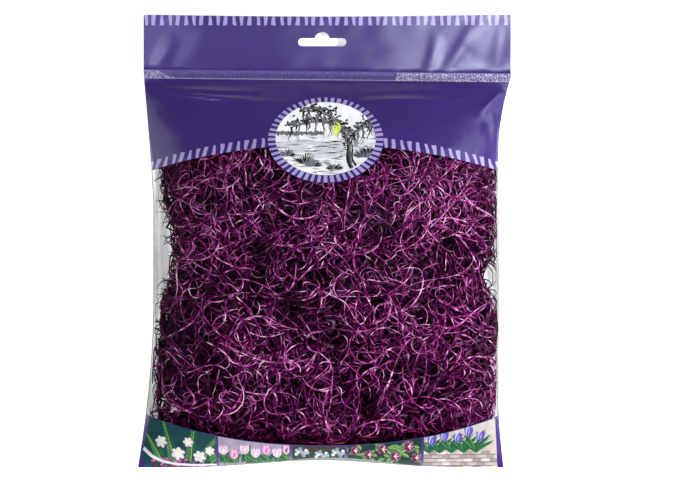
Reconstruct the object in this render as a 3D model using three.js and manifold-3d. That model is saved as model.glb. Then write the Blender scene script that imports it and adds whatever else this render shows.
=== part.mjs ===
// A clear hang bag packed with dyed Spanish moss, lying on its back.
// Millimetres. X runs across the bag, Y from its bottom fold to its hanging edge, and Z up from the
// surface that it lies on. The origin is the middle of the underside.

import * as THREE from 'three';
import { mergeVertices } from 'three/addons/utils/BufferGeometryUtils.js';
import Module from 'manifold-3d';

const wasm = await Module();
wasm.setup();

// ---- Driving dimensions ----

const bagLength = 298.4; // bottom corners to the header's top edge
const bagWidth = 245.6; // over the header's right edge and the bottom left corner
const filmThickness = 0.5; // each film
const filmGap = 0.4; // between the two films where they lie together

// the header: flat, above the cross seal
const headerLeft = -119.5;
const headerRight = bagWidth / 2;
const headerBow = 1.2; // how far its top edge dips in the middle
const headerLevel = 4; // height of the space between the two films above the surface
const sealHeight = 108.5; // Y of the cross seal at the middle of the bag
const sealSlant = 1.3; // how far the seal drops from the middle to the right edge

// the filled body, below the cross seal
const waistLeft = -112.2;
const waistRight = 114.2;
const bottomFlareLeft = 10.6; // how far the corners stand out past the waist
const bottomFlareRight = 3.6;
const bottomRise = 4.6; // how far the filling pulls up the middle of the bottom fold
const seamLevel = 12; // height of the side seams at half length
const foldLevel = 7; // height of the bottom fold
const fillRise = 28; // top of the filling above the side seams
const flatShare = 0.72; // part of the underside's half width and half length that lies flat
const creaseDepth = 2.5; // the valley in the front film over the crease in the moss
const lumpHeight = 1.1; // the film's rise and fall over the lumps of moss

// the hang slot: a bar with round ends and a hump above its middle
const slotWidth = 31.8;
const slotBarHeight = 5.3;
const slotHumpWidth = 9.5;
const slotHumpRise = 3.9; // above the bar
const slotX = -1.6; // centre of the slot
const slotY = 131; // centre of the bar

// the moss: two rows of three wads, kept clear of the films and of each other
const wadClearance = 1.6; // above and below, to the films
const wadGap = 0.008; // half the gap between wads, as a share of the half width
const mossLowEdge = -0.93; // lengthwise share, -1 at the bottom fold and 1 at the cross seal
const mossHighEdge = 0.8;
const wadRoundness = 0.62; // power that makes a wad fuller than a ball
const wadCorner = 3.4; // power of a wad's rounded outline
const wadLump = 0.07; // depth of the lumps in a wad's outline

// ---- The shape of the filled bag ----

// grows from 0 at the start to 1 at the end, with the given power
const ramp = (t, start, end, power) => THREE.MathUtils.clamp((t - start) / (end - start), 0, 1) ** power;

// the bag's side edges at a share of the body's length, 0 at the bottom fold and 1 at the cross seal
function leftEdge(along) {
  const corner = bottomFlareLeft * ramp(along, 0.42, 0, 1.8);
  const shoulder = (waistLeft - headerLeft) * ramp(along, 0.66, 1, 1.3);
  return waistLeft - corner - shoulder;
}

function rightEdge(along) {
  const corner = bottomFlareRight * ramp(along, 0.16, 0, 1.5);
  const shoulder = (headerRight - waistRight) * ramp(along, 0.8, 1, 2);
  return waistRight + corner + shoulder;
}

const sealLine = (across) => sealHeight - sealSlant * across;
const foldLine = (across) => -bagLength / 2 + bottomRise * Math.cos((across * Math.PI) / 2) ** 4;
const topLine = (across) => bagLength / 2 - headerBow * Math.cos((across * Math.PI) / 2);

// how far out of the filling a place is: 0 in the middle, 1 from where the two films meet outwards
function fillRadius(across, along) {
  const lengthwise = 2 * along - 1;
  return Math.min(1, (across ** 4 + lengthwise ** 4) ** 0.25);
}

function seamHeight(along) {
  const ends = along < 0.5 ? foldLevel : headerLevel;
  return ends + (seamLevel - ends) * Math.sin(along * Math.PI) ** 0.8;
}

// lengthwise place of the crease that parts the upper wads from the lower ones
const creaseLine = (across) => 0.05 - 0.035 * across + 0.03 * Math.sin(3 * across + 1);

function filmLumps(across, along) {
  const lengthwise = 2 * along - 1;
  const crease = Math.exp(-(((lengthwise - creaseLine(across)) / 0.12) ** 2));
  const lumps = Math.sin(7.3 * across + 2 * lengthwise) * Math.sin(6.1 * lengthwise - 2.4 * across + 0.6);
  return lumpHeight * lumps - creaseDepth * crease;
}

// inner face of the front film and of the back film, above the surface
function frontLevel(across, along) {
  const inside = 1 - fillRadius(across, along) ** 4;
  const dome = fillRise * (1 - fillRadius(across, along) ** 3.2) ** 0.8;
  return seamHeight(along) + filmGap / 2 + dome + inside * filmLumps(across, along);
}

function backLevel(across, along) {
  const edge = ramp(fillRadius(across, along), flatShare, 1, 1.6);
  return filmThickness + (seamHeight(along) - filmGap / 2 - filmThickness) * edge;
}

// the place in plan of a share across (-1 to 1) and along the body
function bodyPlace(across, along) {
  const x = THREE.MathUtils.lerp(leftEdge(along), rightEdge(along), (across + 1) / 2);
  const y = THREE.MathUtils.lerp(foldLine(across), sealLine(across), along);
  return new THREE.Vector2(x, y);
}

// ---- Solids ----

function toManifold(geometry) {
  const bare = geometry.clone();
  bare.deleteAttribute('normal');
  bare.deleteAttribute('uv');
  const merged = mergeVertices(bare, 1e-4);
  const vertProperties = new Float32Array(merged.attributes.position.array);
  const triVerts = new Uint32Array(merged.index.array);
  return new wasm.Manifold(new wasm.Mesh({ numProp: 3, vertProperties, triVerts }));
}

function toGeometry(solid) {
  const mesh = solid.getMesh();
  const geometry = new THREE.BufferGeometry();
  geometry.setAttribute('position', new THREE.BufferAttribute(mesh.vertProperties, 3));
  geometry.setIndex(new THREE.BufferAttribute(mesh.triVerts, 1));
  geometry.computeVertexNormals();
  return geometry;
}

// the upright cutter of the hang slot
function slotCutter() {
  const end = slotBarHeight / 2;
  const reach = slotWidth / 2 - end;
  const hump = slotHumpWidth / 2;
  const outline = new THREE.Shape();
  outline.moveTo(-reach, -end);
  outline.lineTo(reach, -end);
  outline.absarc(reach, 0, end, -Math.PI / 2, Math.PI / 2);
  outline.lineTo(hump, end);
  outline.absellipse(0, end, hump, slotHumpRise, 0, Math.PI);
  outline.lineTo(-reach, end);
  outline.absarc(-reach, 0, end, Math.PI / 2, (3 * Math.PI) / 2);
  const cutter = new THREE.ExtrudeGeometry(outline, { depth: 20, bevelEnabled: false, curveSegments: 8 });
  cutter.translate(slotX, slotY, -5);
  return cutter;
}

// ---- The two films ----

const filmColumns = 24;
const bodyRows = 26;
const headerRows = 2;

// one film: a thin sheet whose inner face follows the level function, thick towards the outside
function filmPanel(level, headerInner, outward) {
  const rows = bodyRows + headerRows;
  const sheet = new THREE.BoxGeometry(2, 2, 2, filmColumns, rows, 1);
  const places = sheet.attributes.position;

  const innerFace = (across, row) => {
    if (row > bodyRows) {
      const up = (row - bodyRows) / headerRows;
      const x = THREE.MathUtils.lerp(headerLeft, headerRight, (across + 1) / 2);
      const y = THREE.MathUtils.lerp(sealLine(across), topLine(across), up);
      return new THREE.Vector3(x, y, headerInner);
    }
    const along = (1 - Math.cos((row / bodyRows) * Math.PI)) / 2;
    const plan = bodyPlace(across, along);
    return new THREE.Vector3(plan.x, plan.y, level(across, along));
  };

  const facing = (across, row) => {
    const step = 0.02;
    const right = innerFace(Math.min(1, across + step), row);
    const left = innerFace(Math.max(-1, across - step), row);
    const upper = innerFace(across, Math.min(rows, row + step));
    const lower = innerFace(across, Math.max(0, row - step));
    return right.sub(left).cross(upper.sub(lower)).normalize();
  };

  for (let i = 0; i < places.count; i++) {
    const across = Math.sin((places.getX(i) * Math.PI) / 2);
    const row = Math.round(((places.getY(i) + 1) / 2) * rows);
    const place = innerFace(across, row);
    if (places.getZ(i) * outward > 0) {
      place.addScaledVector(facing(across, row), filmThickness * outward);
    }
    places.setXYZ(i, place.x, place.y, place.z);
  }
  return toGeometry(toManifold(sheet).subtract(toManifold(slotCutter())));
}

// ---- The moss ----

// where the wads part, as a share across, at the lower and at the upper end of each row
const lowerSplits = [[-0.965, -0.95], [-0.3, -0.2], [0.42, 0.3], [0.955, 0.93]];
const upperSplits = [[-0.93, -0.885], [-0.27, -0.34], [0.36, 0.47], [0.93, 0.95]];

// one wad: a ball swelled until it fills its own part of the bag
function mossWad(leftSplit, rightSplit, isUpper, seed) {
  const ball = new THREE.SphereGeometry(1, 28, 14);
  ball.rotateX(Math.PI / 2);
  const places = ball.attributes.position;
  const point = new THREE.Vector3();
  for (let i = 0; i < places.count; i++) {
    point.fromBufferAttribute(places, i);
    const turn = Math.atan2(point.y, point.x);
    const corner = Math.abs(Math.cos(turn)) ** wadCorner + Math.abs(Math.sin(turn)) ** wadCorner;
    const lumps = wadLump * (0.5 + 0.5 * Math.sin(4 * turn + seed)) * Math.hypot(point.x, point.y);
    const outline = Math.hypot(point.x, point.y) ** wadRoundness * (corner ** (-1 / wadCorner) - lumps);
    const sideways = outline * Math.cos(turn);
    const upward = (outline * Math.sin(turn) + 1) / 2;

    const left = THREE.MathUtils.lerp(leftSplit[0], leftSplit[1], upward) + wadGap;
    const right = THREE.MathUtils.lerp(rightSplit[0], rightSplit[1], upward) - wadGap;
    const across = THREE.MathUtils.lerp(left, right, (sideways + 1) / 2);
    const low = isUpper ? creaseLine(across) + wadGap : mossLowEdge;
    const high = isUpper ? mossHighEdge : creaseLine(across) - wadGap;
    const along = (THREE.MathUtils.lerp(low, high, upward) + 1) / 2;

    const roof = frontLevel(across, along) - wadClearance;
    const floor = backLevel(across, along) + wadClearance;
    const swell = Math.sign(point.z) * Math.abs(point.z) ** wadRoundness;
    const plan = bodyPlace(across, along);
    places.setXYZ(i, plan.x, plan.y, (roof + floor) / 2 + (swell * (roof - floor)) / 2);
  }
  return toGeometry(toManifold(ball));
}

// ---- The assembly ----

const film = new THREE.MeshStandardMaterial({
  color: 0x6f63a0, roughness: 0.2, metalness: 0, transparent: true, opacity: 0.45,
});
const moss = new THREE.MeshStandardMaterial({ color: 0x7a2466, roughness: 0.7, metalness: 0 });

const group = new THREE.Group();

function add(name, geometry, material) {
  const mesh = new THREE.Mesh(geometry, material);
  mesh.name = name;
  group.add(mesh);
}

add('bag_front_panel', filmPanel(frontLevel, headerLevel + filmGap / 2, 1), film);
add('bag_back_panel', filmPanel(backLevel, headerLevel - filmGap / 2, -1), film);

['left', 'middle', 'right'].forEach((side, i) => {
  add(`moss_wad_lower_${side}`, mossWad(lowerSplits[i], lowerSplits[i + 1], false, 2 * i), moss);
  add(`moss_wad_upper_${side}`, mossWad(upperSplits[i], upperSplits[i + 1], true, 2 * i + 1), moss);
});

export default group;
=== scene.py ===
import math

import bpy
import numpy as np
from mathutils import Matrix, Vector
from mathutils.geometry import delaunay_2d_cdt


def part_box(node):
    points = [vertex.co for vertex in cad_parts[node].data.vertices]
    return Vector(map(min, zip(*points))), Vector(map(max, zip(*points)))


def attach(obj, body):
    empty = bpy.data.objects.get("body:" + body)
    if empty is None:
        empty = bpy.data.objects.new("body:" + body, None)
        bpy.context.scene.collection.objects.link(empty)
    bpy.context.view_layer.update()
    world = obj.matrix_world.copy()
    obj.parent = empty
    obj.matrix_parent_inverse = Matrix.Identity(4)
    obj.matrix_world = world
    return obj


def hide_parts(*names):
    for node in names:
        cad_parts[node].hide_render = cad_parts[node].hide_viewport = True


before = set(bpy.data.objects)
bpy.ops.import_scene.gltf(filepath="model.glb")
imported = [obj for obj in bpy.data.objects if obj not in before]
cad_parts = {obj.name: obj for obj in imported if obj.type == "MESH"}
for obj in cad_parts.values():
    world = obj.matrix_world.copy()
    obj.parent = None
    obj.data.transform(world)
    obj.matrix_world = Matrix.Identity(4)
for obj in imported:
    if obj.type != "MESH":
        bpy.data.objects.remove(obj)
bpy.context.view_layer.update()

# ---- Camera ----
# The bag lies on its back and the camera looks straight down on it, the header at the top of the picture.

MM = 0.001
lens_length = 85 * MM
sensor_width = 36 * MM
picture_width = 458.5 * MM  # across the plane of the bag's side seams
seam_plane = 12 * MM
picture_centre = (16.7 * MM, -1.5 * MM)

camera_data = bpy.data.cameras.new("camera")
camera_data.sensor_width = sensor_width / MM
camera_data.lens = lens_length / MM
camera = bpy.data.objects.new("camera", camera_data)
camera_distance = picture_width * lens_length / sensor_width
camera.location = (*picture_centre, seam_plane + camera_distance)
bpy.context.scene.collection.objects.link(camera)
bpy.context.scene.camera = camera

# ---- Floor and lights ----
# A plain pale floor. The main lights at the sides light the moss and the print but are not mirrored by
# the film, as if they shone through polarising sheets. Weak ones lay a soft sheen on the film.


def area_light(name, place, size, power, mirrored, colour=(1, 1, 1)):
    """A square soft light at place, aimed at the bag. A mirrored one is seen in gloss only."""
    data = bpy.data.lights.new(name, "AREA")
    data.size = size
    data.energy = power
    data.color = colour
    light = bpy.data.objects.new(name, data)
    light.location = place
    light.rotation_euler = (-Vector(place)).to_track_quat("-Z", "Y").to_euler()
    light.visible_glossy = mirrored
    light.visible_diffuse = not mirrored
    bpy.context.scene.collection.objects.link(light)


area_light("right_light", (1.15, -0.05, 0.70), 0.40, 44, False)
area_light("left_light", (-1.15, -0.15, 0.68), 0.50, 11, False)
area_light("near_light", (-0.20, -1.2, 0.66), 0.50, 14.5, False)
area_light("header_light", (0.31, 0.36, 1.8), 0.36, 2.9, True, (0.70, 0.76, 1.0))
area_light("header_spark", (0.33, 0.33, 1.8), 0.07, 0.58, True, (0.9, 0.94, 1.0))
area_light("header_left_light", (-0.48, 0.36, 1.8), 0.14, 1.0, True, (0.62, 0.62, 1.0))
area_light("right_sheen", (0.90, 0.05, 1.05), 1.05, 3.0, True, (0.86, 0.84, 1.0))
area_light("left_sheen", (-1.15, 0.15, 0.70), 0.80, 1.4, True)
area_light("corner_sheen", (0.72, 0.50, 1.05), 0.45, 1.0, True, (0.74, 0.74, 1.0))


def feed(tree, node, inputs):
    """Sets a node's inputs, each to a plain value or to the output of another node."""
    for name, value in inputs.items():
        if isinstance(value, bpy.types.NodeSocket):
            tree.links.new(value, node.inputs[name])
        else:
            node.inputs[name].default_value = value


def add_node(tree, kind, inputs=None, **settings):
    """Adds a node with its settings and its inputs."""
    node = tree.nodes.new(kind)
    for name, value in settings.items():
        setattr(node, name, value)
    feed(tree, node, inputs or {})
    return node


def remap(tree, value, from_range, to_range):
    """A value carried over from one range to another."""
    ends = zip(("From Min", "From Max", "To Min", "To Max"), (*from_range, *to_range))
    return add_node(tree, "ShaderNodeMapRange", {"Value": value, **dict(ends)}).outputs["Result"]


def new_material(name):
    """A material, its node tree and the shader that it starts with."""
    material = bpy.data.materials.new(name)
    material.use_nodes = True
    tree = material.node_tree
    return material, tree, tree.nodes["Principled BSDF"]


bpy.ops.mesh.primitive_plane_add(size=8)
floor = bpy.context.active_object
floor.name = "floor"
floor_paint, floor_tree, floor_surface = new_material("floor_paint")
feed(floor_tree, floor_surface, {
    "Base Color": (0.88, 0.88, 0.88, 1), "Roughness": 0.9,
    "Emission Color": (1, 1, 1, 1), "Emission Strength": 0.5,
})
floor.data.materials.append(floor_paint)

studio = bpy.data.worlds.new("studio")
bpy.context.scene.world = studio
studio.use_nodes = True
walls = studio.node_tree
sight = add_node(walls, "ShaderNodeTexCoord").outputs["Generated"]
height = add_node(walls, "ShaderNodeSeparateXYZ", {"Vector": sight}).outputs["Z"]
glow = remap(walls, height, (0.05, 0.5), (0.85, 0.03))
feed(walls, walls.nodes["Background"], {"Color": (1, 1, 1, 1), "Strength": glow})
bpy.context.scene.view_settings.view_transform = "Standard"

# ---- Front film of the bag ----
# Clear polypropylene film, blown full by the moss below the crimped cross seal and flat above it. The
# header, its borders, the badge and the strip of pictures are printed on it, and the hang slot is
# punched through it.

half_length = 149.2  # millimetres, as are all lengths of the film and the moss
header_left, header_right = -119.5, 122.8
header_bow = 1.2
header_level = 4
seal_height = 108.5
seal_slant = 1.3
waist_left, waist_right = -112.2, 114.2
bottom_flare_left, bottom_flare_right = 10.6, 3.6
bottom_rise = 4.6
seam_level = 12
fold_level = 7
fill_rise = 27.5
film_thickness = 0.08


def ramp(t, start, end, power=1.0):
    """How far t has come from start to end, from 0 to 1."""
    return np.clip((t - start) / (end - start), 0, 1) ** power


def left_edge(along):
    corner = bottom_flare_left * ramp(along, 0.42, 0, 1.8)
    shoulder = (waist_left - header_left) * ramp(along, 0.66, 1, 1.3)
    return waist_left - corner - shoulder


def right_edge(along):
    corner = bottom_flare_right * ramp(along, 0.16, 0, 1.5)
    shoulder = (header_right - waist_right) * ramp(along, 0.8, 1, 2)
    return waist_right + corner + shoulder


def seal_line(across):
    return seal_height - seal_slant * across


def fold_line(across):
    return -half_length + bottom_rise * np.cos(across * np.pi / 2) ** 4


def top_line(across):
    return half_length - header_bow * np.cos(across * np.pi / 2)


def place_of(across, along):
    """Plan place of a share across (-1 to 1) and along, which runs on from 1 to 2 over the header."""
    body, header = np.clip(along, 0, 1), np.clip(along - 1, 0, 1)
    left, right = left_edge(body), right_edge(body)
    low, high = fold_line(across), seal_line(across)
    y = low + (high - low) * body + (top_line(across) - high) * header
    return left + (right - left) * (across + 1) / 2, y


def along_at(y):
    """The share along of a height in plan, if the fold and the cross seal ran straight."""
    return (y + half_length) / (seal_height + half_length)


def shares_of(x, y):
    """The share across and along of a place in plan."""
    across, along = x / header_right, along_at(y)
    for _ in range(8):
        left, right = left_edge(along), right_edge(along)
        across = np.clip(2 * (x - left) / (right - left) - 1, -1, 1)
        low, high = fold_line(across), seal_line(across)
        body = (y - low) / (high - low)
        header = 1 + (y - high) / (top_line(across) - high)
        along = np.clip(np.where(y > high, header, body), 0, 2)
    return across, along


def seam_height(along):
    """How high the side seams lie."""
    ends = np.where(along < 0.5, fold_level, header_level)
    return ends + (seam_level - ends) * np.sin(np.clip(along, 0, 1) * np.pi).clip(0) ** 0.8


def fullness(across, along):
    """How far the moss blows the film out: 1 in the middle of the bag, 0 at its seams."""
    lengthwise = 2 * np.clip(along, 0, 1) - 1
    below = (1 - np.abs(np.minimum(lengthwise, 0)) ** 3.2) ** 0.8
    above = 1 - np.maximum(lengthwise, 0) ** 2.4
    return (1 - np.abs(across) ** 3.2).clip(0) ** 0.8 * below * above


def crease_line(across):
    """Where the crease between the upper and the lower handfuls runs."""
    return 0.05 - 0.035 * across + 0.03 * np.sin(3 * across + 1)


def front_level(across, along):
    """How high the front film lies: blown out, with lumps, and drawn in along the moss's crease."""
    lengthwise = 2 * along - 1
    full = fullness(across, along)
    lumps = 1.1 * np.sin(7.3 * across + 2 * lengthwise) * np.sin(6.1 * lengthwise - 2.4 * across + 0.6)
    crease = 2.5 * np.exp(-(((lengthwise - crease_line(across)) / 0.12) ** 2))
    return seam_height(along) + fill_rise * full + full * (lumps - crease) + 0.1


def back_level(across, along):
    """How high the back film lies: flat on the table, and drawn up to the seams at its edges."""
    lengthwise = 2 * np.clip(along, 0, 1) - 1
    radius = np.minimum(1, (across**4 + lengthwise**4) ** 0.25)
    edge = ramp(radius, 0.72, 1, 1.6)
    return 0.1 + (seam_height(along) - 0.2) * edge


def slot_outline(centre_x=-1.6, centre_y=131, width=31.8, bar=5.3, hump=9.5, rise=3.9):
    """The hang slot: a bar with round ends and a hump in the middle of its top."""
    end = bar / 2
    reach = width / 2 - end
    turn = np.linspace(-np.pi / 2, np.pi / 2, 9)
    right_end = [(reach + end * math.cos(t), end * math.sin(t)) for t in turn]
    top = [(hump / 2 * math.cos(t), end + rise * math.sin(t)) for t in np.linspace(0, np.pi, 13)]
    left_end = [(-x, -y) for x, y in right_end]
    return [(centre_x + x, centre_y + y) for x, y in right_end + top + left_end]


def ellipse(x, y, width, height, count=24):
    turns = np.linspace(0, 2 * np.pi, count, endpoint=False)
    return [(x + width * math.cos(t), y + height * math.sin(t)) for t in turns]


def leaf(x, y, length, width, lean, bend=0.0, count=7):
    """A pointed leaf from its foot at x, y, leaning from upright to the right by lean radians."""
    up = [i / count for i in range(count + 1)]
    sides = [(t, width / 2 * math.sin(math.pi * t**0.8)) for t in up]
    outline = [(t * length, side) for t, side in sides] + [(t * length, -side) for t, side in sides[-2:0:-1]]
    placed = []
    for reach, side in outline:
        turn = lean + bend * reach / length
        placed.append((x + reach * math.sin(turn) + side * math.cos(turn),
                       y + reach * math.cos(turn) - side * math.sin(turn)))
    return placed


def bloom(x, y, radius, petals, turn=0.0):
    """A flat flower with rounded petals."""
    outline = []
    for t in np.linspace(0, 2 * np.pi, petals * 6, endpoint=False):
        reach = radius * (0.5 + 0.5 * abs(math.cos(petals * (t - turn) / 2)) ** 0.7)
        outline.append((x + reach * math.cos(t), y + reach * math.sin(t)))
    return outline


def smooth(points):
    """The line through points with its corners rounded off."""
    for _ in range(2):
        cut = [points[0]]
        for (x0, y0), (x1, y1) in zip(points, points[1:]):
            cut += [(0.75 * x0 + 0.25 * x1, 0.75 * y0 + 0.25 * y1),
                    (0.25 * x0 + 0.75 * x1, 0.25 * y0 + 0.75 * y1)]
        points = cut + [points[-1]]
    return points


def stroke(points, start, end):
    """A brush stroke along points whose width runs from start to end, as an outline."""
    path = np.array(points, float)
    way = np.gradient(path, axis=0)
    way /= np.maximum(np.linalg.norm(way, axis=1, keepdims=True), 1e-6)
    half = np.linspace(start, end, len(path))[:, None] / 2
    side = np.column_stack([-way[:, 1], way[:, 0]]) * half
    return np.concatenate([path + side, (path - side)[::-1]]).tolist()


def tick(x, y, height, number, lean=0.0):
    """One hand-cut tick of a border, hanging down from x, y: no two neighbours are alike."""
    wave = number * 2.2
    top, bottom = 1.1 + 0.45 * math.sin(wave), 1.15 - 0.35 * math.sin(wave + 0.7)
    slip = 0.6 * math.sin(wave + 2) + lean * height
    cut = 0.3 * math.cos(1.7 * wave)
    bow = 0.25 * math.sin(2.3 * wave)
    return [(x - top, y), (x + top, y), (x + (top + bottom + slip) / 2 + bow, y - height / 2),
            (x + bottom + slip, y - height + cut), (x - bottom + slip, y - height - cut),
            (x + (slip - top - bottom) / 2 + bow, y - height / 2)]


def print_layer(prints, outline, ink, inside=None):
    """Adds an outline to a film's print, over what is there, and returns its number."""
    prints.append((outline, ink, inside))
    return len(prints) - 1


arch_height = 62.0
arch_drop = 15.7
arch_half = 112.7
strip_height = -133.5
strip_lift = 19.65
strip_half = 116.6
badge_x, badge_y = 1.0, 66.3
ring_size, ring_tick_reach, picture_size = (37.5, 28.4), (37.3, 28.2), (32.4, 24.2)  # half widths and heights
panel_gap, panel_rule = 0.9, 0.5  # the violet left beside and above each panel
border_pitch = 5.27
top_tick, arch_tick = 7.6, 6.2  # how tall the ticks of the two borders are
top_ticks, arch_ticks, ring_ticks = 46, 44, 52
weld_width = 0.7
seal_reach = 2.8
half_header, half_fold = 121, 117  # half the bag's width at the cross seal and at the bottom fold
sheet_side, sheet_end = 126, 152  # an outline that runs off the film ends out here


def arch(x):
    return arch_height - arch_drop * (x / arch_half) ** 2


def strip_edge(x):
    return strip_height + strip_lift * (x / strip_half) ** 2


across_bag = np.linspace(-sheet_side, sheet_side, 85)
down_bag = np.linspace(-0.02, 1, 60)
front_prints = []


def lay(outline, ink, inside=None):
    return print_layer(front_prints, outline, ink, inside)


for side, edge, low, high in ((-1, left_edge, -3, weld_width), (1, right_edge, -weld_width, 3)):
    lay([(edge(t) + low, place_of(side, t)[1]) for t in down_bag]
        + [(edge(t) + high, place_of(side, t)[1]) for t in down_bag[::-1]], "weld")
header_outline = [(-sheet_side, sheet_end)] + [(x, arch(x)) for x in across_bag] + [(sheet_side, sheet_end)]
header_ink = lay(header_outline, "violet")


def seal_at(x, off):
    """A place on the cross seal, off its middle line."""
    return x, seal_line(x / half_header) + off


def seal_band(start, end, low, high, ink):
    """A stretch of the cross seal between two heights off its middle line."""
    run = np.linspace(start, end, 40)
    lay([seal_at(x, low) for x in run] + [seal_at(x, high) for x in run[::-1]], ink)


# painted shade: a darker line along the seal's upper groove
seal_band(-sheet_side, sheet_side, seal_reach, seal_reach + 0.6, "seal_groove")
seal_band(-sheet_side, sheet_side, -seal_reach, seal_reach, "seal")
crazed_left = [(-sheet_side, -seal_reach), (-96, -seal_reach), (-105, 0), (-110, seal_reach),
               (-sheet_side, seal_reach)]
crazed_right = 47
lay([seal_at(x, off) for x, off in crazed_left], "seal_frosted")
seal_band(crazed_right, sheet_side, -seal_reach, seal_reach, "seal_frosted")
# painted highlights: paler lips along the seal's lower edge
seal_band(-sheet_side, crazed_right, -seal_reach, 0.55 - seal_reach, "seal_thin_lip")
seal_band(crazed_right, sheet_side, -seal_reach, 1.1 - seal_reach, "seal_lip")


def top_border(prints, header, first):
    """The ticks along the header's top edge, numbered from first."""
    for i in range(top_ticks):
        x = header_left + 1.6 + i * border_pitch
        print_layer(prints, tick(x, half_length + 0.6, top_tick, first + i), "lavender", header)


top_border(front_prints, header_ink, 0)
for i in range(arch_ticks):
    x = -arch_half - 2 + i * (2 * arch_half + 4) / (arch_ticks - 1)
    slope = 2 * arch_drop * x / arch_half**2
    lay(tick(x - slope * arch_tick, arch(x) + arch_tick, arch_tick + 0.3, i, slope), "lavender", header_ink)

strip_outline = [(x, strip_edge(x)) for x in across_bag]
strip = lay(strip_outline + [(sheet_side, -sheet_end), (-sheet_side, -sheet_end)], "violet")
ring_y = badge_y - 0.8
ring = lay(ellipse(badge_x, ring_y, *ring_size, 96), "violet")
reach_x, reach_y = ring_tick_reach
for i in range(ring_ticks):
    turn = 2 * np.pi * i / ring_ticks
    half = 0.031 + 0.006 * math.sin(i * 1.3)
    edges = [(turn - half, 1.0), (turn + half, 1.0), (turn + half * 1.1, 0.84), (turn - half * 1.1, 0.84)]
    lay([(badge_x + reach_x * share * math.cos(t), ring_y + reach_y * share * math.sin(t))
         for t, share in edges], "lavender", ring)
badge = lay(ellipse(badge_x, badge_y, *picture_size, 96), "badge_paper")


def engrave(outline, ink):
    """Adds an outline, placed from the badge's middle, to the badge's picture."""
    lay([(badge_x + x, badge_y + y) for x, y in outline], ink, badge)


# the badge's own picture: an old oak hung with moss beside still water
chance = np.random.default_rng(11)


def any_of(*inks):
    return inks[chance.integers(len(inks))]


side, foot = 34, -26
for shore, ink in ((3.5, "badge_mist"), (-1.5, "badge_wash"), (-12.5, "badge_mist")):
    ground = [(x, shore + 0.9 * math.sin(0.2 * x + shore)) for x in range(-side, side + 1, 2)]
    engrave(ground + [(side, foot), (-side, foot)], ink)
for x in np.arange(-33, -2, 1.1):
    engrave(ellipse(x, 3.2 + chance.normal(0, 0.3), 1.1, chance.uniform(0.8, 1.9), 8), "badge_shade")
for _ in range(150):
    x, y = chance.uniform(-32, 32), chance.uniform(-23, 2)
    half, thick = chance.uniform(1.5, 6), chance.uniform(0.14, 0.42)
    rise = chance.uniform(-0.4, 0.4)
    ink = any_of("badge_shade", "badge_line", "badge_paper")
    engrave([(x - half, y - rise), (x, y + thick), (x + half, y + rise), (x, y - thick)], ink)
trunk = smooth([(18, -19), (15, -14), (16, -6), (14, 2), (9, 8), (0, 11.5), (-10, 11), (-23, 7)])
right_limb = smooth([(15, -2), (20, 5), (26, 8), (33, 8)])
top_limb = smooth([(9, 8.5), (4, 15), (-4, 18), (-15, 18)])
limbs = [trunk, right_limb, top_limb]
for limb, width in zip(limbs, (5.4, 3.2, 2.6)):
    engrave(stroke(limb, width, 0.7), "badge_line")
    engrave(stroke([(x + 0.12 * width, y) for x, y in limb], width * 0.22, 0.1), "badge_wash")
for limb in limbs:
    for x, y in limb[len(limb) // 3:]:
        for _ in range(6):
            spot = chance.normal(0, 1.9, 2)
            length, lean = chance.uniform(2.0, 3.6), chance.uniform(-2, 2)
            oak_leaf = leaf(x + spot[0], y + 0.5 + abs(spot[1]), length, 1.7, lean, 0, 3)
            engrave(oak_leaf, any_of("badge_line", "badge_shade"))
    for x, y in limb[len(limb) // 4::2]:
        for _ in range(4):
            sway, length = chance.normal(0, 0.7, 3), chance.uniform(3, 12)
            hang = [(x + s + chance.normal(0, 0.6), y - length * t)
                    for s, t in zip((0, *sway), (0, 0.35, 0.7, 1))]
            engrave(stroke(hang, 0.95, 0.15), any_of("badge_line", "badge_shade"))
reed_tufts = [(-25, -12, 6), (-13, -17, 9), (-8, -19, 7), (6, -21, 6), (24, -13, 8), (28, -10, 6)]
for foot_x, foot_y, tall in reed_tufts:
    for lean in np.linspace(-0.9, 0.9, 13):
        reed = leaf(foot_x + 2.5 * lean, foot_y, tall * chance.uniform(0.6, 1), 1.1, lean, 0.4 * lean, 4)
        engrave(reed, any_of("badge_line", "badge_shade"))
for lean in (-2.0, -1.5, -1.0, -0.5, 0.1):
    engrave(leaf(9.5, 5.5, 7.0, 1.5, lean, -0.7, 5), "bud_green")

# the strip of pictures: five panels of garden plants on plain grounds
panel_edges = (-115.5, -70, -22, 14, 64, 112.6)
left_corner = [(-110, -sheet_end), (-117.8, -147.4), (-120.0, -141)]
right_corner = (113.8, -sheet_end)
panels = []
for i, ink in enumerate(("teal", "lilac", "dusk", "leaf_night", "shell")):
    run = np.linspace(panel_edges[i] + panel_gap, panel_edges[i + 1] - panel_gap, 16)
    right_foot = right_corner if ink == "shell" else (run[-1], -sheet_end)
    left_foot = left_corner if ink == "teal" else [(run[0], -sheet_end)]
    panels.append(lay([(x, strip_edge(x) - panel_rule) for x in run] + [right_foot, *left_foot], ink, strip))
fern_panel, tulip_panel, hydrangea_panel, pansy_panel, basket_panel = panels


def garden_leaf(x, y, length, width, lean, panel, dark="leaf_dark", lit="leaf_green"):
    """A leaf in a panel, one half of it lit."""
    bend = 0.35 * math.copysign(1, lean)
    lay(leaf(x, y, length, width, lean, bend, 6), dark, panel)
    lay(leaf(x, y, length * 0.94, width * 0.4, lean + 0.09, bend, 5), lit, panel)


def cup(x, y, petal, streak, inks, streak_ink, panel):
    """A cup of four petals, each with a streak up its middle; both are given as length and width."""
    for lean, ink in zip((-0.5, 0.5, -0.2, 0.25), inks):
        lay(leaf(x - 1.5 * lean, y, *petal, lean, 0, 5), ink, panel)
        lay(leaf(x - 1.5 * lean, y + 1, *streak, lean, 0, 4), streak_ink, panel)


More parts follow.
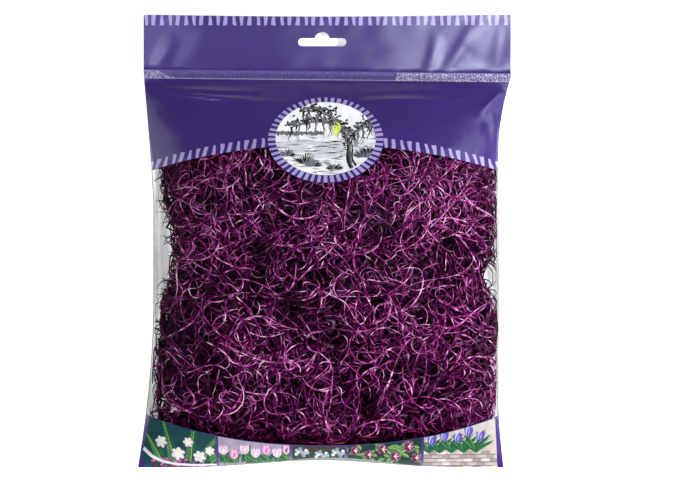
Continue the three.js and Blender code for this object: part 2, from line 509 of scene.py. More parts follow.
# fern fronds and white stars behind a pale path through ground cover
ferns = [(-106, 23, -0.3), (-98, 32, -0.15), (-88, 31, 0.1), (-80, 25, 0.35), (-75, 16, 0.7)]
for foot, length, lean in ferns:
    frond = []
    for t in np.linspace(0, 1, 14):
        turn = lean + 0.6 * lean * t
        frond.append((foot + length * t * math.sin(turn), -147 + length * t * math.cos(turn)))
    for i, (x, y) in enumerate(frond[1:]):
        for side, ink in ((-1, "leaf_green"), (1, "leaf_dark")):
            turn = lean * (1 + 0.05 * i) + side
            lay(leaf(x, y, 6.4 - 0.44 * i, 1.7, turn, -0.3 * side, 3), ink, fern_panel)
    lay(stroke(frond, 0.8, 0.3), "leaf_light", fern_panel)
for _ in range(80):
    x, y = chance.uniform(-113, -71), -150 + 7.5 * chance.random() ** 1.5
    creeper = ellipse(x, y, chance.uniform(0.8, 1.6), 0.8, 6)
    lay(creeper, any_of("bloom_plum", "bloom_pink", "bloom_dim"), fern_panel)
path = smooth([(-119, -136), (-110, -144), (-93, -147.5), (-70, -147)])
lay(stroke(path, 2.4, 1.2), "bloom_white", fern_panel)
for x, y, size in [(-107, -131, 4.0), (-96, -139, 4.6), (-82, -141, 4.2), (-89, -131, 3.4), (-75, -137, 3.2)]:
    lay(bloom(x + 0.5, y - 0.5, size, 6, x), "bloom_petal", fern_panel)
    lay(bloom(x, y, size * 0.94, 6, x), "bloom_white", fern_panel)
    lay(ellipse(x, y, 0.9, 0.9, 8), "bud_green", fern_panel)

# tulips before broad leaves
for x in np.arange(-70, -22, 1.7):
    garden_leaf(x, -146, chance.uniform(7, 15), 3.6, chance.uniform(-1.0, 1.0), tulip_panel)
for x, y, ink in [(-66, -138, "bloom_white"), (-59, -141, "bloom_pink"), (-52, -137.5, "bloom_white"),
                  (-45, -140, "bloom_white"), (-38, -138, "bloom_pink"), (-31, -140, "bloom_white"),
                  (-25, -138, "bloom_dim")]:
    lay(stroke([(x, y), (x + 0.8, y - 5), (x + 0.4, y - 10)], 1.0, 0.8), "leaf_green", tulip_panel)
    cup(x, y - 2, (7.2, 4.0), (4.6, 1.6), (ink, ink, "bloom_petal", "bloom_petal"), ink, tulip_panel)

# hydrangea heads among dark leaves
for x in np.arange(-21, 14, 2.0):
    garden_leaf(x, -144 + chance.uniform(0, 4), chance.uniform(4, 8), 4.0, chance.uniform(-1.3, 1.3),
                hydrangea_panel, "leaf_night", "leaf_dark")
floret_inks = ("bloom_white", "bloom_sky", "lilac", "leaf_dark")
for head_x, head_y in [(-15, -138), (-2, -140), (9, -138.5)]:
    for i in range(14):
        turn, reach = 2.4 * i, 0.95 * i**0.5
        floret = bloom(head_x + 1.2 * reach * math.cos(turn), head_y + reach * math.sin(turn), 1.3, 4, i)
        lay(floret, floret_inks[i % 4], hydrangea_panel)

# plum pansies on yellow-green
for _ in range(46):
    garden_leaf(chance.uniform(14, 64), chance.uniform(-147, -134), chance.uniform(4, 8), 3.0,
                chance.uniform(-1.5, 1.5), pansy_panel, "leaf_green", "leaf_light")
for x, y, size in [(20, -137, 3.6), (29, -140, 3.8), (38, -136, 4.0), (46, -141, 4.2), (55, -134, 4.4),
                   (60, -142, 3.8)]:
    lay(bloom(x, y, size, 5, x), "bloom_dim", pansy_panel)
    lay(bloom(x + 0.3, y - 0.3, size * 0.75, 5, x + 0.4), "bloom_plum", pansy_panel)
    for turn in (0.6, 1.6, 2.6):
        lay(leaf(x, y, size * 0.75, 1.0, turn, 0, 3), "bloom_petal", pansy_panel)
    lay(ellipse(x, y, 0.7, 0.6, 7), "bud_green", pansy_panel)

# a paler hem along the bottom fold, where the film turns under: a painted sheen
hem_start, hem_end = -40, 62
hem = [(x, fold_line(x / half_fold) + 2.4 * math.sin(math.pi * (x - hem_start) / (hem_end - hem_start)))
       for x in np.linspace(hem_start, hem_end, 24)]
lay(hem + [(hem_end, -sheet_end), (hem_start, -sheet_end)], "hem_mist", strip)

# a pale basket of crocuses
half_slat = 2.9
for row, y in enumerate(np.arange(-149, -136.5, 2.6)):
    for x in np.arange(65 + half_slat * (row % 2), 113, 2 * half_slat):
        wide, high = 2.5 + chance.normal(0, 0.2), 1.05
        slat = [(x - wide, y - high), (x + wide, y - high), (x + wide + 0.4, y), (x + wide, y + high),
                (x - wide, y + high), (x - wide - 0.4, y)]
        lay(slat, any_of("shell", "shell_shade", "shell_light"), basket_panel)
        gap = stroke([(x - half_slat, y - 1.2), (x, y - 1.5), (x + half_slat, y - 1.2)], 0.45, 0.45)
        lay(gap, "shell_shadow", basket_panel)
for x in (68, 75, 83, 91, 99):
    for lean in (-0.6, -0.3, 0.0, 0.3, 0.6):
        garden_leaf(x, -139, 15 + 0.07 * (x - 60) - 5 * abs(lean), 2.6, lean + 0.04, basket_panel)
crocus_inks = ("bloom_iris", "bloom_iris", "bloom_sky", "bloom_iris")
for x, y in [(70, -131), (78, -128), (87, -129), (94, -125), (102, -128)]:
    cup(x, y - 3, (7.6, 3.4), (4.8, 1.0), crocus_inks, "lilac", basket_panel)


def closer_points(outline, step):
    """The outline with points added, so that none of its sides is longer than step."""
    points = []
    for (x0, y0), (x1, y1) in zip(outline, outline[1:] + outline[:1]):
        parts = max(1, math.ceil(math.hypot(x1 - x0, y1 - y0) / step))
        points += [(x0 + (x1 - x0) * i / parts, y0 + (y1 - y0) * i / parts) for i in range(parts)]
    return points


def side_shade(along, x):
    """How much the clear film is painted grey near the side seams, as shade in upright streaks."""
    from_left = x - left_edge(along.clip(0, 1))
    from_right = right_edge(along.clip(0, 1)) - x
    return 0.65 * np.exp(-((from_left / 12) ** 4)) + 0.95 * np.exp(-((from_right / 14) ** 4))


def dusk_shade(x, y):
    """How dark the clear film is tinted over the strip of pictures: it fades out upwards."""
    above = y - strip_edge(x)
    ends = ramp(x, -112, -92) * ramp(x, 100, 76)
    return np.clip(1.25 - above / 9, 0, 1) * ends


grid_pitch = 1.3
grid_columns, grid_rows = 96, 116  # each way from the middle
longest_side = 3.5


def grid_steps(across, along):
    """How many steps of the grid lie between the film's points: few in the header, seams and creases."""
    corner = np.minimum(1 - np.abs(across), np.minimum(along, 1.9 - along)) < 0.1
    creased = (along > 0.93) & (along < 0.985)
    return np.where(creased, 1, np.where((along > 0.9) | corner | (along < 0.13), 2, 4))


def cut_film(prints):
    """Cuts the flat film into triangles along every outline of its print: places, corners, inks."""
    up = np.concatenate([np.linspace(0, 1, 90), 1 + np.linspace(0, 1, 17)[1:]])
    wide = np.linspace(-1, 1, 80)
    rim = [place_of(a, 0.0) for a in wide[:-1]] + [place_of(1.0, t) for t in up[:-1]]
    rim += [place_of(a, 2.0) for a in wide[:0:-1]] + [place_of(-1.0, t) for t in up[:0:-1]]
    columns, rows = np.arange(-grid_columns, grid_columns + 1), np.arange(-grid_rows, grid_rows + 1)
    column, row = np.meshgrid(columns, rows)
    x, y = grid_pitch * (column + 0.5 * (row % 2)), grid_pitch * row
    across, along = shares_of(x, y)
    every = grid_steps(across, along)
    chosen = (column % every == 0) & (row % every == 0)
    chosen &= (np.abs(across) < 0.995) & (along > 0.003) & (along < 1.98)  # clear of the rim
    points = [Vector(p) for p in zip(x[chosen], y[chosen])]
    loops = []
    for outline in [rim, slot_outline()] + [closer_points(outline, longest_side) for outline, _, _ in prints]:
        side_x, side_y = np.array(outline).T
        if (side_x * np.roll(side_y, -1) - side_y * np.roll(side_x, -1)).sum() < 0:
            outline = outline[::-1]
        loops.append(list(range(len(points), len(points) + len(outline))))
        points += [Vector(p) for p in outline]
    found, _, faces, _, _, sources = delaunay_2d_cdt(points, [], loops, 1, 1e-4, True)
    inks = ["clear"] + sorted({ink for _, ink, _ in prints})
    triangles, slots = [], []
    for face, source in zip(faces, sources):
        under = set(source)
        if 0 not in under or 1 in under:  # outside the rim, or inside the hang slot
            continue
        ink = "clear"
        for layer in sorted(under - {0}):
            _, wanted, inside = prints[layer - 2]
            if inside is None or inside + 2 in under:
                ink = wanted
        triangles.append(face)
        slots.append(inks.index(ink))
    return np.array([(v.x, v.y) for v in found]), np.array(triangles), slots, inks


def add_piece(name, corners, faces, values):
    """A new object from corners in millimetres, with named values at every corner."""
    mesh = bpy.data.meshes.new(name)
    mesh.from_pydata((corners * MM).tolist(), [], faces)
    for label, numbers in values.items():
        attribute = mesh.attributes.new(label, "FLOAT", "POINT")
        attribute.data.foreach_set("value", numbers.astype(np.float32))
    mesh.shade_smooth()
    piece = bpy.data.objects.new(name, mesh)
    bpy.context.scene.collection.objects.link(piece)
    return piece


def film_mesh(name, prints, level, shape, facing):
    """The cut film, lifted to its level, thickened and inked. Its outside faces up (1) or down (-1)."""
    plan, triangles, slots, inks = cut_film(prints)
    across, along = shares_of(plan[:, 0], plan[:, 1])
    middle = np.column_stack([plan, level(across, along)])
    middle[:, 2] += shape(across, along, plan[:, 0], plan[:, 1]) * facing
    corner = middle[triangles]
    slant = np.cross(corner[:, 1] - corner[:, 0], corner[:, 2] - corner[:, 0])
    flip = slant[:, 2] * facing < 0  # so that each triangle faces outwards
    triangles[flip] = triangles[flip][:, ::-1]
    slant[flip] *= -1
    normal = np.zeros_like(middle)
    for number in range(3):
        np.add.at(normal, triangles[:, number], slant)
    normal /= np.maximum(np.linalg.norm(normal, axis=1, keepdims=True), 1e-9)

    # the film's two skins, and the rim that joins them
    used = np.unique(triangles)
    renumber = np.zeros(len(middle), int)
    renumber[used] = np.arange(len(used))
    triangles = renumber[triangles]
    outer = middle[used] + normal[used] * film_thickness / 2
    inner = middle[used] - normal[used] * film_thickness / 2
    inner_triangles = triangles[:, ::-1] + len(used)
    sides = {}
    for number, (a, b, c) in enumerate(triangles.tolist()):
        for edge in ((a, b), (b, c), (c, a)):
            sides[edge] = number
    rim, rim_slots = [], []
    for (a, b), number in sides.items():
        if (b, a) not in sides:
            rim.append((b, a, a + len(used), b + len(used)))
            rim_slots.append(slots[number])
    x, y = plan[used].T
    # the side value paints shade on the film near the side seams
    values = {"side": np.tile(side_shade(along[used], x), 2), "dusk": np.tile(dusk_shade(x, y), 2)}
    faces = triangles.tolist() + inner_triangles.tolist() + rim
    piece = add_piece(name, np.vstack([outer, inner]), faces, values)
    piece.data.polygons.foreach_set("material_index", slots + slots + rim_slots)
    piece.data.set_sharp_from_angle(angle=math.radians(60))
    for ink in inks:
        piece.data.materials.append(materials[ink])
    return piece


def ripples(x, y, wavelength, seed, count=7):
    """Gentle waves in every direction, about 1 high at the most."""
    random = np.random.default_rng(seed)
    total = 0
    for _ in range(count):
        turn, phase = random.uniform(0, np.pi), random.uniform(0, 2 * np.pi)
        pitch = wavelength * random.uniform(0.75, 1.4)
        total = total + np.cos((x * np.cos(turn) + y * np.sin(turn)) * 2 * np.pi / pitch + phase)
    return total / count**0.5 / 1.5


def fold(x, y, start, end, height, width, sag=0.0):
    """A soft fold in the film from start to end, bowed to its left by sag, fading at both ends."""
    run = np.subtract(end, start)
    length = np.hypot(*run)
    share = ((x - start[0]) * run[0] + (y - start[1]) * run[1]) / length**2
    off = ((y - start[1]) * run[0] - (x - start[0]) * run[1]) / length
    off = off - sag * 4 * share * (1 - share)
    fade = np.sin(np.clip(share, 0, 1) * np.pi) ** 0.7
    return height * fade * np.exp(-((off / width) ** 2))


corner_folds = [
    # start, end, height, width, sag
    ((-116, 102), (-40, 98), 0.8, 1.3, -1.5),
    ((-114, 101), (-46, 93), 0.9, 1.5, -2.0),
    ((-112, 98), (-20, 90), 0.5, 1.6, -1.5),
    ((-114, 99), (-96, 78), 0.45, 3.4, 1.5),
    ((20, 91), (72, 92), 0.7, 1.4, 1.0),
    ((60, 91.5), (100, 95), 0.4, 1.2, -1.0),
    ((20, 96), (84, 99), 0.2, 1.6, 1.0),
    ((118, 99), (100, 80), 1.5, 3.0, -1.0),
    ((101, 82), (105, 54), 1.1, 2.0, 1.2),
    ((110, 86), (112, 58), 1.2, 1.8, 0.8),
    ((76, 82), (95, 56), 0.7, 1.5, -1.0),
    ((86, 86), (101, 54), 0.8, 1.6, -1.2),
    ((66, 72), (84, 56), 0.5, 1.6, -0.8),
    ((-119, -146), (-96, -128), 1.0, 2.8, 1.0),
    ((-116, -120), (-101, -112), 0.8, 2.4, 0.5),
    ((114, -143), (96, -126), 1.0, 2.8, -1.0),
    ((112, -118), (101, -108), 0.7, 2.2, -0.5),
]
header_folds = [
    ((-112, 110), (-98, 134), 0.32, 4.0, 1.0),
    ((-94, 110), (-72, 142), 0.16, 8.0, 1.0),
    ((66, 108), (74, 138), 0.42, 3.2, -2.0),
    ((75, 108), (96, 142), 0.45, 3.4, -3.0),
    ((95, 125), (106, 146), 0.35, 6.0, 1.0),
    ((112, 112), (118, 146), 0.50, 5.0, -1.0),
    ((20, 116), (60, 124), 0.18, 6.0, 1.0),
]


def add_folds(lift, folds, shown, x, y):
    """A film's lift with folds added, as far as each is shown."""
    for start, end, height, width, sag in folds:
        lift = lift + shown * fold(x, y, start, end, height, width, sag)
    return lift


def header_waves(x, y):
    return 0.3 * ripples(x, y, 70, 5) + 0.05 * ripples(x, y, 17, 6)


def film_shape(across, along, x, y):
    """How far the front film stands off its smooth shape."""
    filled = fullness(across, along)
    header = ramp(along, 1.0, 1.15)
    lift = (0.35 * ripples(x, y, 34, 3) * (0.3 + filled) + 0.1 * ripples(x, y, 11, 4)) * (1 - header)
    lift = add_folds(lift + header * header_waves(x, y), corner_folds, 1 - header, x, y)
    lift = add_folds(lift, header_folds, header, x, y)
    off_seal = (y - seal_line(across)) / seal_reach
    in_seal = np.exp(-(off_seal**6))
    lips = 0.35 * np.exp(-((np.abs(off_seal) - 1.0) / 0.3) ** 2)
    return lift * (1 - in_seal) + lips


def noise(tree, where, scale, detail, distortion=0.0):
    """A cloudy value, in spots about 1 / scale metres wide."""
    inputs = {"Vector": where, "Scale": scale, "Detail": detail, "Distortion": distortion}
    return add_node(tree, "ShaderNodeTexNoise", inputs).outputs["Fac"]


def maths(tree, operation, *values):
    return add_node(tree, "ShaderNodeMath", dict(enumerate(values)), operation=operation).outputs[0]


def mix(tree, share, first, second, kind="RGBA", blend="MIX"):
    """Two colours, or two values where kind is FLOAT, mixed by a share."""
    inputs = {"Factor": share, "A": first, "B": second}
    return add_node(tree, "ShaderNodeMix", inputs, data_type=kind, blend_type=blend).outputs["Result"]


def colour_ramp(tree, value, stops):
    """The colour that a value has on a ramp of stops, each a place and a colour."""
    node = add_node(tree, "ShaderNodeValToRGB", {"Fac": value})
    first, *between, last = stops
    for stop, (place, colour) in zip(node.color_ramp.elements, (first, last)):
        stop.position, stop.color = place, colour
    for place, colour in between:
        node.color_ramp.elements.new(place).color = colour
    return node.outputs["Color"]


def bump(tree, height, strength, distance):
    inputs = {"Height": height, "Strength": strength, "Distance": distance}
    return add_node(tree, "ShaderNodeBump", inputs).outputs["Normal"]


def mesh_value(tree, name):
    """The value that the mesh keeps at its points under this name."""
    return add_node(tree, "ShaderNodeAttribute", attribute_name=name).outputs["Fac"]


def place_on(tree):
    return add_node(tree, "ShaderNodeTexCoord").outputs["Object"]


def print_wear():
    """Node group: a printed ink's slight unevenness, its rub marks, and the waviness of the film."""
    tree = bpy.data.node_groups.new("print_wear", "ShaderNodeTree")
    grey, pale = (0.1, 0.1, 0.1, 1), (0.5, 0.5, 0.5, 1)
    for name, value in (("Ink", grey), ("Rubbed", pale), ("Uneven", 0.2), ("Spots", 45.0)):
        kind = "NodeSocketFloat" if isinstance(value, float) else "NodeSocketColor"
        tree.interface.new_socket(name, in_out="INPUT", socket_type=kind).default_value = value
    for name, kind in (("Color", "Color"), ("Roughness", "Float"), ("Height", "Float")):
        tree.interface.new_socket(name, in_out="OUTPUT", socket_type="NodeSocket" + kind)
    asked = add_node(tree, "NodeGroupInput").outputs
    where = place_on(tree)
    cloud = noise(tree, where, asked["Spots"], 5)
    shade = maths(tree, "MULTIPLY", cloud, asked["Uneven"])
    darker = mix(tree, shade, asked["Ink"], (0.35, 0.35, 0.4, 1), blend="MULTIPLY")
    rub = remap(tree, noise(tree, where, 500, 6, 0.4), (0.62, 0.8), (0, 0.12))
    feed(tree, add_node(tree, "NodeGroupOutput"), {
        "Color": mix(tree, rub, darker, asked["Rubbed"]),
        "Roughness": remap(tree, cloud, (0, 1), (0.15, 0.27)),
        "Height": noise(tree, where, 900, 2),
    })
    return tree


wear = print_wear()


def ink_material(name, ink, rubbed, uneven, spots, mirror):
    """Ink printed on the film: gloss over an uneven colour, whose spots are 1 / spots metres wide."""
    material, tree, surface = new_material(name)
    inputs = {"Ink": (*ink, 1), "Rubbed": (*rubbed, 1), "Uneven": uneven, "Spots": spots}
    worn = add_node(tree, "ShaderNodeGroup", inputs, node_tree=wear).outputs
    feed(tree, surface, {
        "Base Color": worn["Color"],
        "Roughness": worn["Roughness"],
        "Normal": bump(tree, worn["Height"], 0.12, 0.0002),
        "Specular IOR Level": mirror,
        "IOR": 1.3 + mirror / 2,
    })
    return material


border_inks = {
    "violet": (0.034, 0.017, 0.122),
    "lavender": (0.28, 0.24, 0.47),
}
picture_inks = {
    "badge_paper": (0.86, 0.88, 0.90),
    "badge_mist": (0.71, 0.72, 0.75),
    "badge_wash": (0.54, 0.55, 0.58),
    "badge_shade": (0.14, 0.145, 0.16),
    "badge_line": (0.018, 0.018, 0.022),
    "bud_green": (0.62, 0.75, 0.10),
    "teal": (0.010, 0.045, 0.050),
    "leaf_night": (0.010, 0.035, 0.028),
    "leaf_dark": (0.014, 0.075, 0.035),
    "leaf_green": (0.05, 0.16, 0.05),
    "leaf_light": (0.18, 0.30, 0.08),
    "lilac": (0.26, 0.22, 0.29),
    "dusk": (0.05, 0.035, 0.03),
    "shell": (0.39, 0.345, 0.325),
    "shell_light": (0.53, 0.485, 0.465),
    "shell_shade": (0.26, 0.22, 0.21),
    "shell_shadow": (0.09, 0.07, 0.07),
    "hem_mist": (0.20, 0.23, 0.21),
    "bloom_white": (0.56, 0.54, 0.57),
    "bloom_sky": (0.26, 0.36, 0.46),
    "bloom_petal": (0.55, 0.34, 0.48),
    "bloom_pink": (0.46, 0.09, 0.32),
    "bloom_dim": (0.19, 0.05, 0.14),
    "bloom_plum": (0.085, 0.014, 0.050),
    "bloom_iris": (0.085, 0.060, 0.32),
}


def seal_material(name, pale, share, roughness):
    """Crimped film: violet between fine upright ribs, whitened where the crimp has crazed it. On the seal's
    groove and lips it is painted darker and paler, as shade and highlights.
    """
    material, tree, surface = new_material(name)
    where = place_on(tree)
    ribs = add_node(tree, "ShaderNodeTexWave", {"Vector": where, "Scale": 310, "Distortion": 3})
    grain = mix(tree, 0.8, ribs.outputs["Fac"], noise(tree, where, 900, 4), kind="FLOAT")
    crazed = remap(tree, grain, (0.65 - 0.4 * share, 0.85 - 0.4 * share), (0, 1))
    feed(tree, surface, {
        "Base Color": mix(tree, crazed, (0.05, 0.035, 0.14, 1), (*pale, 1)),
        "Roughness": roughness,
        "Normal": bump(tree, grain, 0.4, 0.0003),
    })
    return material


def film_material(name, clearness):
    """Clear film: it passes what is behind it, a little dimmed, and mirrors the lights. Near the side seams
    it is painted darker in upright streaks, as shade.
    """
    material, tree, surface = new_material(name)
    tree.nodes.remove(surface)
    where = place_on(tree)
    clear = (clearness, clearness * 1.003, clearness * 1.005, 1)
    hazy = (clearness * 0.95, clearness * 0.955, clearness * 0.957, 1)
    tint = mix(tree, noise(tree, where, 60, 4), clear, hazy)
    upright = add_node(tree, "ShaderNodeMapping", {"Vector": where, "Scale": (300, 16, 16)})
    shade_streaks = colour_ramp(tree, noise(tree, upright.outputs["Vector"], 1, 3), [
        (0.38, (0.78, 0.782, 0.782, 1)), (0.55, (0.87, 0.872, 0.872, 1)), (0.66, (1, 1, 1, 1)),
    ])
    # painted shade: near the side seams what shows through the film is darkened in upright streaks
    creased = mix(tree, mesh_value(tree, "side"), tint, shade_streaks, blend="MULTIPLY")
    dusky = mix(tree, mesh_value(tree, "dusk"), creased, (0.72, 0.56, 0.67, 1))
    crinkle = bump(tree, noise(tree, where, 320, 3), 0.25, 0.0006)
    slope = add_node(tree, "ShaderNodeLayerWeight", {"Blend": 0.5, "Normal": crinkle})
    steep = maths(tree, "POWER", slope.outputs["Facing"], 5)
    mirror = maths(tree, "MULTIPLY_ADD", steep, 0.6, 0.0015)  # at a slant, and head on
    through = add_node(tree, "ShaderNodeBsdfTransparent", {"Color": dusky}).outputs["BSDF"]
    gloss = add_node(tree, "ShaderNodeBsdfGlossy", {"Roughness": 0.32, "Normal": crinkle}).outputs["BSDF"]
    film = add_node(tree, "ShaderNodeMixShader", {0: mirror, 1: through, 2: gloss}).outputs["Shader"]
    feed(tree, tree.nodes["Material Output"], {"Surface": film})
    return material


materials = {
    "clear": film_material("clear_film", 0.96),
    "weld": film_material("film_weld", 0.7),
    "seal": seal_material("crimped_film", (0.16, 0.13, 0.31), 0.3, 0.3),
    "seal_frosted": seal_material("crazed_film", (0.50, 0.48, 0.60), 0.45, 0.45),
    # the groove is painted darker as shade, the lips paler as highlights
    "seal_groove": seal_material("groove_of_the_seal", (0.08, 0.06, 0.18), 0.1, 0.4),
    "seal_thin_lip": seal_material("thin_lip_of_the_seal", (0.28, 0.25, 0.50), 0.9, 0.35),
    "seal_lip": seal_material("lip_of_the_seal", (0.46, 0.43, 0.48), 0.6, 0.4),
}
for inks, uneven, spots, mirror in ((border_inks, 0.3, 45, 0.7), (picture_inks, 0.8, 260, 0.2)):
    for name, ink in inks.items():
        rubbed = tuple(0.8 * channel + 0.08 for channel in ink)
        materials[name] = ink_material(name + "_ink", ink, rubbed, uneven, spots, mirror)

front_film = film_mesh("bag_front_film", front_prints, front_level, film_shape, 1)
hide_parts("bag_front_panel")
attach(front_film, "root")

# ---- Back film of the bag ----
# The same film, flat under the moss and drawn up to the side seams. Its header and a band along its
# bottom fold are printed in the same violet, and the slot is punched through both films at once.

back_prints = []
back_header = print_layer(back_prints, header_outline, "violet")
top_border(back_prints, back_header, 3)
band_height = -138
band_lift = 12
band = [(x, band_height + band_lift * (x / strip_half) ** 2) for x in across_bag]
print_layer(back_prints, band + [(sheet_side, -sheet_end), (-sheet_side, -sheet_end)], "violet")


def back_shape(across, along, x, y):
    """How far the back film stands off its smooth shape: in the header it follows the front film."""
    header = ramp(along, 1.0, 1.15)
    lift = add_folds(-header * header_waves(x, y), header_folds, -header, x, y)
    off_seal = (y - seal_line(across)) / seal_reach
    return lift * (1 - np.exp(-(off_seal**6)))


back_film = film_mesh("bag_back_film", back_prints, back_level, back_shape, -1)
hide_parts("bag_back_panel")
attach(back_film, "root")

# ---- Moss wads ----
# Preserved Spanish moss, dyed magenta: wiry stems and thread-like leaves about a millimetre thick that
# curl through each other. It is packed by the handful and is held only by the bag.

hollows = [
    # gaps where the stems lie deeper and are painted darker, as shade: place, radius, depth
    ((-42, -6), 9, 6), ((-23, -42), 9, 7), ((5, -63), 9, 5), ((49, -78), 7, 4), ((69, -85), 7, 5),
    ((27, -106), 7, 4), ((-75, 26), 8, 3), ((38, 8), 8, 4), ((80, -2), 7, 3), ((-8, 30), 7, 4),
]
left_notch_height, right_notch_height = -5, -21  # of the notches where upper wads meet lower ones
nature = np.random.default_rng(5)
even_spread = np.array([0.754878, 0.569840])  # steps that fill a square evenly
bundle_size = 5
top_depth, layer_depth, deep_layer = 1.2, 9.0, 8  # how far under the film the stems lie
back_every = 4  # every fourth stem lies on the back film


def side_limits(along):
    """How near the moss comes to the left and right seam, as a share of the half width."""
    waist = np.exp(-(((along - 0.70) / 0.13) ** 2))
    left_notch = np.exp(-(((along - 0.545) / 0.085) ** 2))
    right_notch = np.exp(-(((along - 0.488) / 0.04) ** 2))
    return 0.98 - 0.05 * waist - 0.115 * left_notch, 1.0 - 0.12 * right_notch


def hollow_depth(x, y):
    """How much deeper the moss lies at a place, in one of its hollows."""
    depth = 0
    for (centre_x, centre_y), radius, deep in hollows:
        depth = np.maximum(depth, deep * np.exp(-((x - centre_x) ** 2 + (y - centre_y) ** 2) / radius**2))
    return depth


film_gap = 0.5  # from a stem's skin to the film
pressed = 1.2  # how near the film its stems are pushed together
squeeze_from, squeeze_room = 0.84, 0.16  # the outer share of the bag in which the moss is squeezed
side_share, seal_share, foot_share = 1.1, 0.86, 0.975  # of the bag: where the squeeze ends
squareness = 8  # of the outline that the moss is squeezed into
furthest_across = 0.985
flat_from, flat_room = 0.9, 0.1  # the outer share of the height in which the moss is pressed flat


def place_in_bag(paths, radius, at_back, spread):
    """Takes paths whose third number is minus the depth under the film to their place in the bag."""
    x, y, depth = paths[..., 0], paths[..., 1], -paths[..., 2]
    room = radius[:, None] + film_gap
    near_film = room + pressed * np.exp((depth - room - pressed) / pressed)
    depth = np.where(depth < room + pressed, near_film, depth)
    along = along_at(y).clip(0, 1)
    left, right = side_limits(along)
    middle = (left_edge(along) + right_edge(along)) / 2
    half = (right_edge(along) - left_edge(along)) / 2
    past_left = (middle - half * left * spread - x).max(1).clip(0)
    past_right = (x - middle - half * right * spread).max(1).clip(0)
    x = x + (past_left - past_right)[:, None]
    across, along = shares_of(x, y)
    lengthwise = 2 * np.clip(along, 0.0, 0.99) - 1
    end_share = np.where(lengthwise > 0, seal_share, foot_share)
    share = ((across / side_share) ** squareness + (lengthwise / end_share) ** squareness) ** (1 / squareness)
    over = np.maximum(share - squeeze_from, 0)
    squeezed = squeeze_from + squeeze_room * (1 - np.exp(-over / squeeze_room))
    scale = np.where(share > squeeze_from, squeezed, share) / np.maximum(share, 1e-6)
    across = np.clip(across * scale, -furthest_across, furthest_across)
    along = (lengthwise * scale + 1) / 2
    x, y = place_of(across, along)
    roof, ground = front_level(across, along), back_level(across, along)
    z = np.where(at_back, ground + depth, roof - depth - hollow_depth(x, y))
    core, reach = (roof + ground) / 2, np.maximum((roof - ground) / 2 - room, 0.2)
    rise = (z - core) / reach
    height = np.abs(rise)
    flattened = flat_from + flat_room * np.tanh((height - flat_from) / flat_room)
    height = np.where(height > flat_from, flattened, height)
    return np.stack([x, y, core + reach * (np.sign(rise) * height)], -1)


def flow(x, y):
    """The way that the stems tend to run at a place, an angle in plan."""
    return 2.2 * ripples(x, y, 120, 21) + 1.6 * ripples(x, y, 55, 22)


def normalised(vectors):
    return vectors / np.maximum(np.linalg.norm(vectors, axis=-1, keepdims=True), 1e-9)


def grow(start, way, curl, length, steps):
    """Lets stems grow from start: each turns about its own upright axis by a curl that changes as it goes."""
    count = len(start)
    steady = nature.uniform(0.5, 1.1, count)
    sway = nature.uniform(0.1, 0.8, count)
    phase = nature.uniform(0, 2 * np.pi, count)
    turns = nature.uniform(0.3, 1.4, count)
    tip_curl = nature.normal(0, 0.1, count)
    tilt = nature.normal(0, 0.2, (count, 2)) * np.where(nature.random((count, 1)) < 0.2, 4, 1)
    axis = normalised(np.column_stack([tilt, np.ones(count)]))
    step = length / steps
    curl = np.sign(curl) * np.minimum(np.abs(curl), nature.uniform(1.2, 6.0, count) / length)
    point, path = start, [start]
    for number in range(steps):
        share = number / steps
        bend = curl * (steady + sway * np.sin(2 * np.pi * turns * share + phase)) + tip_curl * share**3
        turn = (bend * step)[:, None]
        way = way * np.cos(turn) + np.cross(axis, way) * np.sin(turn)
        way = normalised(way + nature.normal(0, 0.11 / steps**0.5, (count, 3)) * (1, 1, 0.5))
        point = point + way * step[:, None]
        path.append(point)
    return np.stack(path, 1)


def stems(low, high, count, deep):
    """Where stems start in a wad, which way they set off, and how much they curl."""
    number = np.arange(count)
    bundle = np.where(nature.random(count) < 0.5, number, number // bundle_size * bundle_size)
    spot = (bundle[:, None] * even_spread + nature.random(2)) % 1
    x = low[0] + (high[0] - low[0]) * spot[:, 0] + nature.normal(0, 1.8, count)
    y = low[1] + (high[1] - low[1]) * spot[:, 1] + nature.normal(0, 1.8, count)
    depth = top_depth + layer_depth * nature.random(count) ** 1.1 + (deep_layer if deep else 0)
    heading = flow(x, y) + nature.normal(0, 1.2, count)[bundle] + nature.normal(0, 0.2, count)
    way = normalised(np.column_stack([np.cos(heading), np.sin(heading), nature.normal(0, 0.07, count)]))
    hand = np.where(nature.random(count) < 0.5, -1, 1)
    curl = hand / np.exp(nature.uniform(np.log(5), np.log(28), count))
    curl = curl[bundle] * (1 + nature.normal(0, 0.12, count))
    return np.column_stack([x, y, -depth]), way, curl


def leaves(paths, count):
    """Leaves that fork off the stems: where they start, which way they set off, how much they curl."""
    parent = np.arange(count) % len(paths)
    ring = nature.integers(1, paths.shape[1] - 2, count)
    start = paths[parent, ring]
    along = normalised(paths[parent, ring + 1] - start)
    side = np.where(nature.random(count) < 0.5, -1, 1)
    turn = (side * nature.uniform(0.4, 1.2, count))[:, None]
    across = np.cross([0, 0, 1.0], along)
    way = normalised(along * np.cos(turn) + across * np.sin(turn) + nature.normal(0, 0.1, (count, 3)))
    curl = side * np.where(nature.random(count) < 0.75, 1, -1)
    return start, way, curl / np.exp(nature.uniform(np.log(3), np.log(18), count))


